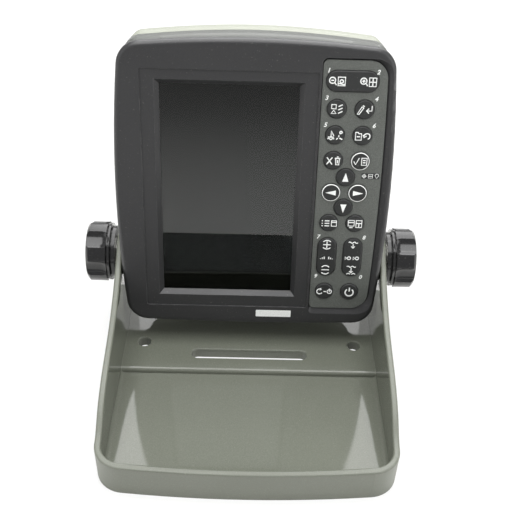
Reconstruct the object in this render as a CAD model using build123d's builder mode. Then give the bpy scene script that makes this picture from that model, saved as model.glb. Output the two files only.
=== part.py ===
import os
from math import cos, radians, sin, tan

from build123d import *

os.makedirs("parts", exist_ok=True)

# Portable fish finder: a display head that tilts between the arms of a moulded tray bracket.
# Millimetres, +Z up, +Y to the back, screen facing -Y.
# The origin is midway between the two fixing holes, on the underside of the tray.

# ---- tray bracket ----
base_width = 141.6  # outside, at the table
front_reach = 97.5  # fixing-hole line to the middle of the front wall
front_bow = 4.0  # bulge of the front wall past its corners
corner_radius = 14.0
tray_wall = 3.1
draft = 0.7  # degrees, walls lean outwards as they rise
floor_thickness = 3.0
step_height = 3.0  # the rear floor stands this much higher
step_setback = 21.0  # step in front of the fixing-hole line
front_height = 18.0
front_flat = 12.5  # length of the level front rim
rise_reach = 27.0  # points that the sweeping rim passes, behind the front wall
rise_height = 24.0
waist_reach = 46.5
waist_height = 31.8
shoulder_reach = 74.0
shoulder_height = 37.4
arm_radius = 17.0
arm_slope = 29.5  # degrees, where the rim runs into the arm's round end
rim_round = 0.9
inner_fillet = 2.0
under_skirt = 5.0  # width of the foot rim around the raised floor's hollow
fixing_spacing = 115.0
fixing_hole = 6.7
fixing_boss = 16.0
strap_slot_length = 62.2
strap_slot_width = 6.5
strap_slot_offset = 8.3  # in front of the fixing-hole line

# ---- tilt pivot ----
pivot_back = 31.4
pivot_height = 43.9
lean = 11.3  # degrees that the screen leans back at rest
pivot_boss = 29.0
pivot_boss_proud = 0.6
stud_diameter = 8.0
stud_clearance = 0.4  # radial, stud in the arm's hole
thread_clearance = 0.08  # radial, stud in its insert
stud_engagement = 9.0
washer_diameter = 17.0
washer_thickness = 1.2
pad_diameter = 24.0
pad_thickness = 1.2
pad_margin = 0.8
pivot_gap = 0.1  # between flat faces that turn past each other

# ---- clamp knobs ----
knob_diameter = 32.8
knob_length = 17.1
knob_crown = 1.9
crown_edge = 1.3  # bevel round the outer end
knob_collar = 28.6
collar_length = 2.0
groove_depth = 1.3
groove_width = 0.7
ring_length = 1.2
flute_count = 6
flute_radius = 9.0
flute_depth = 2.1
flute_run = 3.2  # round end of a flute, behind the ring
stud_head = 13.0  # across the moulded-in head of the stud
stud_head_length = 5.0
stud_head_inset = 6.0  # knob face to the head

# ---- head outline, seen square to the screen ----
head_width = 138.0
head_height = 151.6
head_rise = 46.8  # head centre above the pivot
side_bow = 4.2
top_bow = 3.5
bottom_bow = 1.2
head_corner = 11.5

# ---- head depths, measured forward from the pivot axis ----
face_depth = 25.9
bezel_depth = 4.6
bezel_front = 3.2
bezel_side = 4.2
bezel_round = 2.4
case_band = 9.8  # straight front band of the rear case
case_back = 14.0  # pivot axis to the back of the rear case
case_inset = 0.9
case_wall = 2.6
case_seam = 0.8
case_taper = 6.8  # how far the back is drawn in from the band
case_back_corner = 12.0
case_round = 7.0
hump_width = 78.0
hump_height = 62.0
hump_rise = 10.0  # hump centre above the pivot
hump_depth = 8.0
hump_taper = 2.5
hump_corner = 9.0
hump_round = 4.0
side_boss = 25.0
insert_boss = 19.0
cavity_corner = 22.0  # the corners of the shells stay solid round the screws
screw_boss = 5.5
screw_boss_reach = 4.0  # bezel bosses that stand into the rear case
boss_clearance = 0.15
standoff = 6.0

# ---- screen ----
window_view_width = 67.0
window_view_height = 110.5
screen_shift = -12.5  # screen centre, sideways
screen_rise = 45.4  # screen centre above the pivot
bevel_width = 2.3
window_lap = 2.6
window_thickness = 1.6
surround_width = 84.9
surround_height = 126.4
surround_rise = 44.8
surround_recess = 0.6
lcd_width = 75.8
lcd_height = 120.8
lcd_thickness = 3.2
lcd_gap = 0.3
lcd_frame_wall = 1.2
lcd_frame_depth = 4.4

# ---- key panel ----
panel_left = 31.3
panel_right = 63.2
panel_bottom = -18.4
panel_top = 114.2
panel_thickness = 1.2
panel_depth = 1.8  # recess below the bezel's face
panel_corner = 9.0
panel_inner_corner = 2.5
panel_slope_side = 3.0
panel_slope_top = 0.9
panel_slope_bottom = 3.4
panel_slope_left = 0.4
panel_bow = 1.6
panel_ledge = 1.0

# ---- keys ----
key_column = 38.8
key_pitch = 13.3
key_diameter = 9.4
pill_width = 9.8
pill_length = 22.0
zoom_length = 25.0
zoom_width = 10.2
zoom_row = 104.3  # heights above the pivot
top_row = 90.9
row_pitch = 13.0
cursor_row = 48.1
cursor_reach = 8.1
menu_row = 31.4
rocker_row = 12.1
bottom_row = -8.1
key_clearance = 0.15
key_proud = 0.9
key_travel = 0.9
key_flange = 0.4
rocker_tilt = 3.0  # degrees either way
key_flange_thickness = 0.8
key_stem = 4.4
key_round = 0.8
mat_thickness = 1.0
mat_margin = 0.5
mat_corner = 8.0
keyboard_thickness = 1.6

# ---- inner pieces ----
gasket_width = 1.5
gasket_height = 1.2
board_thickness = 1.6
board_depth = 4.0
antenna_size = 25.0
antenna_thickness = 4.5
buzzer_diameter = 14.0
buzzer_height = 6.0
insert_diameter = 13.0
screw_diameter = 2.5
screw_head = 4.5
screw_head_height = 2.2
screw_clearance = 0.2
screw_seat = 6.0  # under the screw head, forward of the pivot axis
screw_reach = 58.3  # screws either side of the middle
screw_span = 129.8  # upper to lower screws
screw_bite = 4.7  # depth of the screws in their bosses
board_width = 92.0
board_height = 88.0
board_rise = 56.0
board_margin = 4.0
socket_diameter = 17.0
socket_flange = 21.0
socket_flange_thickness = 2.0
socket_length = 11.0
socket_bore = 13.0
socket_throat = 6.0
socket_shoulder = 0.6
socket_spacing = 38.0
socket_row = 2.0  # above the pivot
socket_nut = 24.0
socket_nut_thickness = 3.0
pin_diameter = 1.2
pin_circle = 7.0
pin_length = 5.0

# ---- worked out ----
tray_rear = pivot_back + arm_radius
arm_top = pivot_height + arm_radius
raised_floor = floor_thickness + step_height
draft_slope = tan(radians(draft))
arm_outside = base_width / 2 + pivot_height * draft_slope
arm_inside = arm_outside - tray_wall
boss_face = arm_outside + pivot_boss_proud
pad_inner = arm_inside - pivot_gap - pad_thickness
knob_face = boss_face + pivot_gap + washer_thickness + pivot_gap
knob_end = knob_face + knob_length
bezel_back = face_depth - bezel_depth
bezel_inside = face_depth - bezel_front
band_back = bezel_back - case_band
panel_floor = face_depth - panel_depth
flange_top = panel_floor - 0.1
flange_back = flange_top - key_flange_thickness
mat_top = bezel_inside - 1.4
mat_back = mat_top - mat_thickness
keyboard_back = mat_back - keyboard_thickness
window_front = bezel_inside
lcd_front = window_front - window_thickness - lcd_gap
lcd_back = lcd_front - lcd_thickness
board_front = board_depth + board_thickness
key_top = panel_floor + panel_thickness + key_proud
hump_back = case_back + hump_depth
pocket_back = case_wall - case_back
boss_end = bezel_back - screw_boss_reach
insert_length = stud_engagement + 1
stud_tip = pad_inner - stud_engagement
stud_head_start = knob_face + stud_head_inset
socket_places = [(-socket_spacing / 2, socket_row), (socket_spacing / 2, socket_row)]

lean_cos = cos(radians(lean))
lean_sin = sin(radians(lean))
head_plane = Plane(
    origin=(0, pivot_back, pivot_height), x_dir=(1, 0, 0), z_dir=(0, -lean_cos, lean_sin)
)


def save(piece, name):
    piece.part.label = name
    export_step(piece.part, f"parts/{name}.step")


def head_outline(inset, corner=None):
    # barrel outline of the head, moved inwards by inset
    half_wide = head_width / 2 - inset
    half_tall = head_height / 2 - inset
    left, right = -half_wide + side_bow, half_wide - side_bow
    bottom, top = head_rise - half_tall, head_rise + half_tall
    with BuildSketch() as outline:
        with BuildLine():
            ThreePointArc((left, bottom + bottom_bow), (0, bottom), (right, bottom + bottom_bow))
            ThreePointArc((right, bottom + bottom_bow), (half_wide, head_rise), (right, top - top_bow))
            ThreePointArc((right, top - top_bow), (0, top), (left, top - top_bow))
            ThreePointArc((left, top - top_bow), (-half_wide, head_rise), (left, bottom + bottom_bow))
        make_face()
        fillet(outline.vertices(), radius=corner or head_corner - inset)
    return outline.sketch


def tray_plan(inset, overrun):
    # plan of the tray with a bowed front; overrun lengthens it past the rear
    half = base_width / 2 - inset
    front = -front_reach + inset
    corner_y = front + front_bow
    with BuildSketch() as plan:
        with BuildLine():
            ThreePointArc((-half, corner_y), (0, front), (half, corner_y))
            Polyline(
                (half, corner_y), (half, tray_rear + overrun), (-half, tray_rear + overrun), (-half, corner_y)
            )
        make_face()
        fillet(plan.vertices().group_by(Axis.Y)[0], radius=corner_radius - inset)
    return plan.sketch


def panel_outline(left, right, bottom, top, bow, outer, inner):
    # key panel: square to the screen on one side, following the head's side on the other
    middle = (bottom + top) / 2
    with BuildSketch() as outline:
        with BuildLine():
            ThreePointArc((right - bow, bottom), (right, middle), (right - bow, top))
            Polyline((right - bow, top), (left, top), (left, bottom), (right - bow, bottom))
        make_face()
        fillet(outline.vertices().group_by(Axis.X)[-1], radius=outer)
        fillet(outline.vertices().group_by(Axis.X)[0], radius=inner)
    return outline.sketch


# ---- tray bracket: bowed front, low walls that sweep up into two arms ----
rise_start = (-front_reach + front_flat, front_height)
rise_point = (-front_reach + rise_reach, rise_height)
waist_point = (-front_reach + waist_reach, waist_height)
shoulder_point = (-front_reach + shoulder_reach, shoulder_height)
arm_tangent = (
    pivot_back - arm_radius * sin(radians(arm_slope)),
    pivot_height + arm_radius * cos(radians(arm_slope)),
)

with BuildPart() as tray:
    with BuildSketch():
        add(tray_plan(0, 0))
    extrude(amount=arm_top, taper=-draft)
    with BuildSketch(Plane.XY.offset(floor_thickness)):
        add(tray_plan(tray_wall, 20))
    extrude(amount=arm_top, taper=-draft, mode=Mode.SUBTRACT)
    floor_edges = tray.edges().filter_by_position(Axis.Z, floor_thickness - 0.01, floor_thickness + 0.01)
    fillet(floor_edges.filter_by_position(Axis.Y, -front_reach, tray_rear - 1), radius=inner_fillet)
    # raised rear floor, with a rounded step
    with BuildSketch(Plane.YZ) as step_profile:
        with Locations((-step_setback, floor_thickness / 2)):
            Rectangle(tray_rear + step_setback, raised_floor - floor_thickness / 2, align=(Align.MIN, Align.MIN))
        fillet(step_profile.vertices().group_by(Axis.X)[0].sort_by(Axis.Y)[-1], radius=inner_fillet)
    extrude(amount=base_width / 2 - tray_wall / 2, both=True)
    # walls cut to their sweeping profile
    with BuildSketch(Plane.YZ) as side_cut:
        with BuildLine():
            level = Line((-front_reach - 10, front_height), rise_start)
            Spline(
                rise_start,
                rise_point,
                waist_point,
                shoulder_point,
                arm_tangent,
                tangents=[(1, 0), (cos(radians(arm_slope)), sin(radians(arm_slope)))],
            )
            ThreePointArc(
                arm_tangent,
                (pivot_back + arm_radius * sin(radians(20)), pivot_height + arm_radius * cos(radians(20))),
                (tray_rear, pivot_height),
            )
            Polyline(
                (tray_rear, pivot_height),
                (tray_rear + 10, pivot_height),
                (tray_rear + 10, arm_top + 10),
                (-front_reach - 10, arm_top + 10),
                (-front_reach - 10, front_height),
            )
        make_face()
    extrude(amount=base_width, both=True, mode=Mode.SUBTRACT)
    # rounded rim all along the walls and arms
    rim = tray.edges().filter_by(lambda edge: edge.bounding_box().min.Z > front_height - 0.5)
    rim = rim.filter_by_position(Axis.Y, -front_reach - 1, tray_rear - 0.01)
    fillet(rim, radius=rim_round)
    # flat boss outside each arm, and a flat seat for the friction pad inside it
    for side in (-1, 1):
        with BuildSketch(Plane.YZ.offset(side * boss_face)):
            with Locations((pivot_back, pivot_height)):
                Circle(pivot_boss / 2)
        extrude(amount=-side * (pivot_boss_proud + tray_wall / 2))
        with BuildSketch(Plane.YZ.offset(side * arm_inside)):
            with Locations((pivot_back, pivot_height)):
                Circle(pad_diameter / 2 + pad_margin)
        extrude(amount=-side * tray_wall, mode=Mode.SUBTRACT)
    # hollow under the raised floor, with a foot rim and a boss at each fixing hole
    under_length = tray_rear + step_setback - 2 * under_skirt
    with BuildSketch() as hollow:
        with Locations(((0, tray_rear - under_skirt - under_length / 2))):
            Rectangle(base_width - 2 * tray_wall - 2 * under_skirt, under_length)
        fillet(hollow.vertices(), radius=under_skirt)
        with Locations((-fixing_spacing / 2, 0), (fixing_spacing / 2, 0)):
            Circle(fixing_boss / 2, mode=Mode.SUBTRACT)
        with Locations((0, -strap_slot_offset)):
            slot_wall = strap_slot_width + 2 * tray_wall
            SlotOverall(strap_slot_length + 2 * tray_wall, slot_wall, mode=Mode.SUBTRACT)
    extrude(amount=step_height, mode=Mode.SUBTRACT)
    # fixing holes, strap slot and pivot holes
    with BuildSketch(Plane.XY.offset(raised_floor)):
        with Locations((-fixing_spacing / 2, 0), (fixing_spacing / 2, 0)):
            Circle(fixing_hole / 2)
        with Locations((0, -strap_slot_offset)):
            SlotOverall(strap_slot_length, strap_slot_width)
    extrude(amount=-raised_floor, mode=Mode.SUBTRACT)
    lips = tray.edges().filter_by_position(Axis.Z, raised_floor - 0.01, raised_floor + 0.01)
    lips = lips.filter_by_position(Axis.Y, -strap_slot_offset - strap_slot_width, fixing_hole)
    lips = lips.filter_by(lambda edge: abs(edge.center().X) < fixing_spacing / 2 + fixing_hole)
    chamfer(lips, length=rim_round / 2)
    with BuildSketch(Plane.YZ):
        with Locations((pivot_back, pivot_height)):
            Circle(stud_diameter / 2 + stud_clearance)
    extrude(amount=base_width, both=True, mode=Mode.SUBTRACT)
save(tray, "tray_bracket")


# ---- places on the head ----
head_axis = Axis((0, pivot_back, pivot_height), (0, -lean_cos, lean_sin))
screw_rows = (head_rise - screw_span / 2, head_rise + screw_span / 2)
screw_places = [(x, v) for x in (-screw_reach, screw_reach) for v in screw_rows]
left_column, right_column = key_column, key_column + key_pitch
middle_column = key_column + key_pitch / 2
key_places = {
    "key_zoom": ("wide", middle_column, zoom_row),
    "key_mark": ("round", left_column, top_row),
    "key_input": ("round", right_column, top_row),
    "key_track": ("round", left_column, top_row - row_pitch),
    "key_recall": ("round", right_column, top_row - row_pitch),
    "key_cancel": ("round", left_column, top_row - 2 * row_pitch),
    "key_confirm": ("round", right_column, top_row - 2 * row_pitch),
    "key_up": ("round", middle_column, cursor_row + cursor_reach),
    "key_left": ("round", left_column, cursor_row),
    "key_right": ("round", right_column, cursor_row),
    "key_down": ("round", middle_column, cursor_row - cursor_reach),
    "key_menu": ("round", left_column, menu_row),
    "key_screen": ("round", right_column, menu_row),
    "key_gain": ("tall", left_column, rocker_row),
    "key_depth": ("tall", right_column, rocker_row),
    "key_auto": ("round", left_column, bottom_row),
    "key_power": ("round", right_column, bottom_row),
}


def gasket_ring():
    groove_inset = case_inset + (case_wall - gasket_width) / 2
    with BuildSketch() as ring:
        add(head_outline(groove_inset))
        add(head_outline(groove_inset + gasket_width), mode=Mode.SUBTRACT)
    return ring.sketch


def key_shape(kind, grow):
    # plan of one key, larger all round by grow
    with BuildSketch() as shape:
        if kind == "round":
            Circle(key_diameter / 2 + grow)
        elif kind == "wide":
            SlotOverall(zoom_length + 2 * grow, zoom_width + 2 * grow)
        else:
            SlotOverall(pill_length + 2 * grow, pill_width + 2 * grow, rotation=90)
    return shape.sketch


# ---- front bezel: rounded frame with a screen window and a sunk key area ----
panel_shape = (panel_left, panel_right, panel_bottom, panel_top, panel_bow, panel_corner, panel_inner_corner)
slope_shape = (
    panel_left - panel_slope_left,
    panel_right + panel_slope_side,
    panel_bottom - panel_slope_bottom,
    panel_top + panel_slope_top,
    panel_bow,
    panel_corner,
    panel_inner_corner,
)
opening_shape = (
    panel_left + panel_ledge,
    panel_right - panel_ledge,
    panel_bottom + panel_ledge,
    panel_top - panel_ledge,
    panel_bow,
    panel_corner - panel_ledge,
    panel_inner_corner,
)

with BuildPart() as bezel:
    with BuildSketch(head_plane.offset(bezel_back)):
        add(head_outline(0))
    extrude(amount=bezel_depth)
    fillet(bezel.faces().sort_by(head_axis)[-1].edges(), radius=bezel_round)
    with BuildSketch(head_plane.offset(bezel_back)):
        add(head_outline(bezel_side))
    extrude(amount=bezel_inside - bezel_back, mode=Mode.SUBTRACT)
    # screw bosses in the corners
    with BuildSketch(head_plane.offset(bezel_inside)):
        with Locations(*screw_places):
            Circle(screw_boss / 2)
    extrude(amount=boss_end - bezel_inside)
    # shallow surround of the screen, then the bevel down to the window
    with BuildSketch(head_plane.offset(face_depth)) as surround:
        with Locations((screen_shift, surround_rise)):
            RectangleRounded(surround_width, surround_height, bevel_width / 2)
    extrude(amount=-surround_recess, mode=Mode.SUBTRACT)
    with BuildSketch(head_plane.offset(face_depth - surround_recess)):
        with Locations((screen_shift, screen_rise)):
            Rectangle(window_view_width + 2 * bevel_width, window_view_height + 2 * bevel_width)
    with BuildSketch(head_plane.offset(bezel_inside)):
        with Locations((screen_shift, screen_rise)):
            Rectangle(window_view_width, window_view_height)
    loft(mode=Mode.SUBTRACT)
    # sunk key area with sloped sides, open behind the panel
    with BuildSketch(head_plane.offset(face_depth)):
        add(panel_outline(*slope_shape))
    with BuildSketch(head_plane.offset(panel_floor)):
        add(panel_outline(*panel_shape))
    loft(mode=Mode.SUBTRACT)
    with BuildSketch(head_plane.offset(panel_floor)):
        add(panel_outline(*opening_shape))
    extrude(amount=-panel_floor + bezel_inside, mode=Mode.SUBTRACT)
    with BuildSketch(head_plane.offset(boss_end)):
        with Locations(*screw_places):
            Circle(screw_diameter / 2)
    extrude(amount=screw_bite + 0.4, mode=Mode.SUBTRACT)
save(bezel, "front_bezel")

# ---- rear case: straight band, then a tapering back with a socket hump ----
with BuildPart() as case:
    with BuildSketch(head_plane.offset(band_back)):
        add(head_outline(case_inset))
    extrude(amount=case_band)
    with BuildSketch(head_plane.offset(band_back)):
        add(head_outline(case_inset))
    with BuildSketch(head_plane.offset(-case_back)):
        add(head_outline(case_inset + case_taper, case_back_corner))
    loft()
    fillet(case.faces().sort_by(head_axis)[0].edges(), radius=case_round)
    with BuildSketch(head_plane.offset(case_round - case_back)):
        with Locations((0, hump_rise)):
            RectangleRounded(hump_width, hump_height, hump_corner)
    with BuildSketch(head_plane.offset(-hump_back)):
        with Locations((0, hump_rise)):
            RectangleRounded(hump_width - 2 * hump_taper, hump_height - 2 * hump_taper, hump_corner)
    loft()
    fillet(case.faces().sort_by(head_axis)[0].edges(), radius=hump_round)
    # seam groove behind the band
    with BuildSketch(head_plane.offset(band_back)):
        add(head_outline(-1))
        add(head_outline(case_inset + case_seam), mode=Mode.SUBTRACT)
    extrude(amount=-case_seam, mode=Mode.SUBTRACT)
    # friction bosses that meet the arms
    with BuildSketch(Plane.YZ.offset(-pad_inner)):
        with Locations((pivot_back, pivot_height)):
            Circle(side_boss / 2)
    extrude(amount=2 * pad_inner)
    # inside of the shell
    with BuildSketch(head_plane.offset(bezel_back)):
        add(head_outline(case_inset + case_wall, cavity_corner))
    extrude(amount=-case_band, mode=Mode.SUBTRACT)
    with BuildSketch(head_plane.offset(band_back)):
        add(head_outline(case_inset + case_wall, cavity_corner))
    with BuildSketch(head_plane.offset(pocket_back)):
        add(head_outline(case_inset + case_taper + case_wall, cavity_corner))
    loft(mode=Mode.SUBTRACT)
    with BuildSketch(head_plane.offset(pocket_back)):
        with Locations((0, hump_rise)):
            RectangleRounded(
                hump_width - 2 * hump_taper - 2 * case_wall,
                hump_height - 2 * hump_taper - 2 * case_wall,
                hump_corner - case_wall,
            )
    extrude(amount=-hump_depth, mode=Mode.SUBTRACT)
    # bosses for the threaded inserts, and standoffs for the main board
    for side in (-1, 1):
        with BuildSketch(Plane.YZ.offset(side * pad_inner)):
            with Locations((pivot_back, pivot_height)):
                Circle(insert_boss / 2)
        extrude(amount=-side * (insert_length + case_wall))
        with BuildSketch(Plane.YZ.offset(side * pad_inner)):
            with Locations((pivot_back, pivot_height)):
                Circle(insert_diameter / 2)
        extrude(amount=-side * insert_length, mode=Mode.SUBTRACT)
    with BuildSketch(head_plane.offset(board_depth)):
        with Locations((0, board_rise)):
            with GridLocations(board_width - 2 * board_margin, board_height - 2 * board_margin, 2, 2):
                Circle(standoff / 2)
    extrude(amount=pocket_back - board_depth)
    # gasket groove, pockets for the bezel's bosses, and holes for screws and sockets
    with BuildSketch(head_plane.offset(bezel_back)):
        add(gasket_ring())
    extrude(amount=-gasket_height, mode=Mode.SUBTRACT)
    with BuildSketch(head_plane.offset(bezel_back)):
        with Locations(*screw_places):
            Circle(screw_boss / 2 + boss_clearance)
    extrude(amount=-screw_boss_reach - boss_clearance, mode=Mode.SUBTRACT)
    with BuildSketch(head_plane.offset(bezel_back)):
        with Locations(*screw_places):
            Circle(screw_diameter / 2 + screw_clearance)
    extrude(amount=screw_seat - bezel_back, mode=Mode.SUBTRACT)
    with BuildSketch(head_plane.offset(screw_seat)):
        with Locations(*screw_places):
            Circle(screw_head / 2 + screw_clearance)
    extrude(amount=-screw_seat - case_back, mode=Mode.SUBTRACT)
    with BuildSketch(head_plane.offset(-hump_back)):
        with Locations(*socket_places):
            Circle(socket_diameter / 2)
    extrude(amount=hump_depth, mode=Mode.SUBTRACT)
save(case, "rear_case")

with BuildPart() as gasket:
    with BuildSketch(head_plane.offset(bezel_back)):
        add(gasket_ring())
    extrude(amount=-gasket_height)
save(gasket, "case_gasket")

# ---- screen ----
with BuildPart() as window:
    with BuildSketch(head_plane.offset(window_front)):
        with Locations((screen_shift, screen_rise)):
            RectangleRounded(
                window_view_width + 2 * window_lap, window_view_height + 2 * window_lap, window_lap / 2
            )
    extrude(amount=-window_thickness)
save(window, "screen_window")

with BuildPart() as lcd:
    with BuildSketch(head_plane.offset(lcd_front)):
        with Locations((screen_shift, screen_rise)):
            Rectangle(lcd_width, lcd_height)
    extrude(amount=-lcd_thickness)
save(lcd, "lcd_panel")

with BuildPart() as carrier:
    with BuildSketch(head_plane.offset(lcd_front)):
        with Locations((screen_shift, screen_rise)):
            RectangleRounded(lcd_width + 2 * lcd_frame_wall, lcd_height + 2 * lcd_frame_wall, lcd_frame_wall)
    extrude(amount=-lcd_frame_depth)
    with BuildSketch(head_plane.offset(lcd_front)):
        with Locations((screen_shift, screen_rise)):
            Rectangle(lcd_width, lcd_height)
    extrude(amount=-lcd_thickness, mode=Mode.SUBTRACT)
    with BuildSketch(head_plane.offset(lcd_back)):
        with Locations((screen_shift, screen_rise)):
            with GridLocations(0, lcd_height / 2, 1, 2):
                RectangleRounded(lcd_width - 8 * lcd_frame_wall, lcd_height / 2 - 6 * lcd_frame_wall, 3)
    extrude(amount=-lcd_frame_depth, mode=Mode.SUBTRACT)
save(carrier, "lcd_frame")

# ---- key panel, keys, keypad mat and board ----
with BuildPart() as panel:
    with BuildSketch(head_plane.offset(panel_floor)):
        add(panel_outline(*panel_shape))
        for kind, x, v in key_places.values():
            with Locations((x, v)):
                add(key_shape(kind, key_clearance), mode=Mode.SUBTRACT)
    extrude(amount=panel_thickness)
save(panel, "key_panel")

rocker_drop = {
    "round": 0,
    "wide": (zoom_length / 2 + key_flange) * sin(radians(rocker_tilt)) + key_clearance / 2,
    "tall": (pill_length / 2 + key_flange) * sin(radians(rocker_tilt)) + key_clearance / 2,
}
for name, (kind, x, v) in key_places.items():
    flange_front = flange_top - rocker_drop[kind]
    flange_rear = flange_front - key_flange_thickness
    with BuildPart() as key:
        with BuildSketch(head_plane.offset(flange_rear)):
            with Locations((x, v)):
                add(key_shape(kind, key_flange))
        extrude(amount=key_flange_thickness)
        with BuildSketch(head_plane.offset(flange_front)):
            with Locations((x, v)):
                add(key_shape(kind, 0))
        extrude(amount=key_top - flange_front)
        fillet(key.faces().sort_by(head_axis)[-1].edges(), radius=key_round)
        with BuildSketch(head_plane.offset(flange_rear)):
            with Locations((x, v)):
                if kind == "round":
                    Circle(key_stem / 2)
                elif kind == "wide":
                    Rectangle(key_stem / 4, zoom_width / 2)
                else:
                    Rectangle(pill_width / 2, key_stem / 4)
        stem_gap = key_travel + 0.1 if kind == "round" else 0.1
        extrude(amount=mat_top + stem_gap - flange_rear)
    save(key, name)

mat_shape = (
    left_column - key_diameter / 2 - key_flange - mat_margin,
    right_column + key_diameter / 2 + key_flange + mat_margin,
    bottom_row - key_diameter / 2 - key_flange - mat_margin,
    zoom_row + zoom_width / 2 + key_flange + mat_margin,
)


def mat_plan(inset):
    left, right, bottom, top = mat_shape
    with BuildSketch() as plan:
        with Locations(((left + right) / 2, (bottom + top) / 2)):
            RectangleRounded(right - left - 2 * inset, top - bottom - 2 * inset, mat_corner - inset)
    return plan.sketch


with BuildPart() as mat:
    with BuildSketch(head_plane.offset(mat_top)):
        add(mat_plan(0))
    extrude(amount=-mat_thickness)
save(mat, "keypad_mat")

with BuildPart() as keyboard:
    with BuildSketch(head_plane.offset(mat_back)):
        add(mat_plan(0))
    extrude(amount=-keyboard_thickness)
save(keyboard, "keypad_board")

# ---- electronics ----
with BuildPart() as board:
    with BuildSketch(head_plane.offset(board_depth)):
        with Locations((0, board_rise)):
            RectangleRounded(board_width, board_height, board_margin / 2)
    extrude(amount=board_thickness)
save(board, "main_board")

with BuildPart() as antenna:
    with BuildSketch(head_plane.offset(board_front)):
        with Locations((0, board_rise + board_height / 2 - antenna_size / 2 - board_margin)):
            Rectangle(antenna_size, antenna_size)
    extrude(amount=antenna_thickness)
    chamfer(antenna.edges().filter_by(head_axis), length=2)
save(antenna, "gps_antenna")

with BuildPart() as buzzer:
    with BuildSketch(head_plane.offset(board_front)):
        with Locations((board_width / 4, board_rise - board_height / 4)):
            Circle(buzzer_diameter / 2)
    extrude(amount=buzzer_height)
    with BuildSketch(head_plane.offset(board_front + buzzer_height)):
        with Locations((board_width / 4, board_rise - board_height / 4)):
            Circle(buzzer_diameter / 8)
    extrude(amount=-buzzer_height / 2, mode=Mode.SUBTRACT)
save(buzzer, "buzzer")

# ---- rear sockets for power and transducer leads ----
for name, place, pins in (("power_socket", socket_places[0], 4), ("transducer_socket", socket_places[1], 8)):
    with BuildPart() as socket:
        with BuildSketch(head_plane.offset(-hump_back)):
            with Locations(place):
                Circle(socket_flange / 2)
        extrude(amount=-socket_flange_thickness)
        with BuildSketch(head_plane.offset(-hump_back)):
            with Locations(place):
                Circle(socket_diameter / 2)
        extrude(amount=socket_length)
        socket_mouth = -hump_back - socket_flange_thickness
        with BuildSketch(head_plane.offset(socket_mouth)):
            with Locations(place):
                Circle(socket_bore / 2)
        extrude(amount=socket_throat, mode=Mode.SUBTRACT)
        with BuildSketch(head_plane.offset(socket_mouth + socket_throat)):
            with Locations(place):
                Circle(socket_bore / 2 - socket_shoulder)
        extrude(amount=pin_length, mode=Mode.SUBTRACT)
        with BuildSketch(head_plane.offset(socket_mouth + socket_throat)):
            with Locations(place):
                with PolarLocations(pin_circle / 2, pins):
                    Circle(pin_diameter / 2)
        extrude(amount=pin_length)
    save(socket, name)

for name, place in (("power_socket_nut", socket_places[0]), ("transducer_socket_nut", socket_places[1])):
    with BuildPart() as nut:
        with BuildSketch(head_plane.offset(-hump_back + case_wall)):
            with Locations(place):
                RegularPolygon(socket_nut / 2, 6)
                Circle(socket_diameter / 2, mode=Mode.SUBTRACT)
        extrude(amount=socket_nut_thickness)
    save(nut, name)

# ---- case screws ----
with BuildPart() as screws:
    with BuildSketch(head_plane.offset(screw_seat)):
        with Locations(*screw_places):
            Circle(screw_diameter / 2)
    extrude(amount=boss_end + screw_bite - screw_seat)
    with BuildSketch(head_plane.offset(screw_seat)):
        with Locations(*screw_places):
            Circle(screw_head / 2)
    extrude(amount=-screw_head_height)
    with BuildSketch(head_plane.offset(screw_seat - screw_head_height)):
        with Locations(*screw_places):
            RegularPolygon(screw_diameter / 2, 6, rotation=30)
    extrude(amount=screw_head_height / 2, mode=Mode.SUBTRACT)
save(screws, "case_screws")

# ---- tilt pivot: pads, inserts, washers, studs and knobs on both sides ----
knob_plane = Plane(origin=(knob_face, pivot_back, pivot_height), x_dir=(1, 0, 0), z_dir=(0, -1, 0))
knob_axis = Axis((0, pivot_back, pivot_height), (1, 0, 0))
knob_radius = knob_diameter / 2
ring_start = collar_length + groove_width
body_start = ring_start + ring_length + groove_width
flute_reach = knob_radius - flute_depth + flute_radius


def pivot_disc(start, length, diameter, bore):
    # ring about the pivot axis on the right-hand side
    with BuildPart() as disc:
        with BuildSketch(Plane.YZ.offset(start)):
            with Locations((pivot_back, pivot_height)):
                Circle(diameter / 2)
                Circle(bore / 2, mode=Mode.SUBTRACT)
        extrude(amount=length)
    return disc.part


with BuildPart() as right_stud:
    with BuildSketch(Plane.YZ.offset(stud_tip)):
        with Locations((pivot_back, pivot_height)):
            Circle(stud_diameter / 2)
    extrude(amount=stud_head_start - stud_tip)
    chamfer(right_stud.edges().sort_by(Axis.X)[0], length=1)
    with BuildSketch(Plane.YZ.offset(stud_head_start)):
        with Locations((pivot_back, pivot_height)):
            RegularPolygon(stud_head / 2, 6)
    extrude(amount=stud_head_length)

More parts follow.
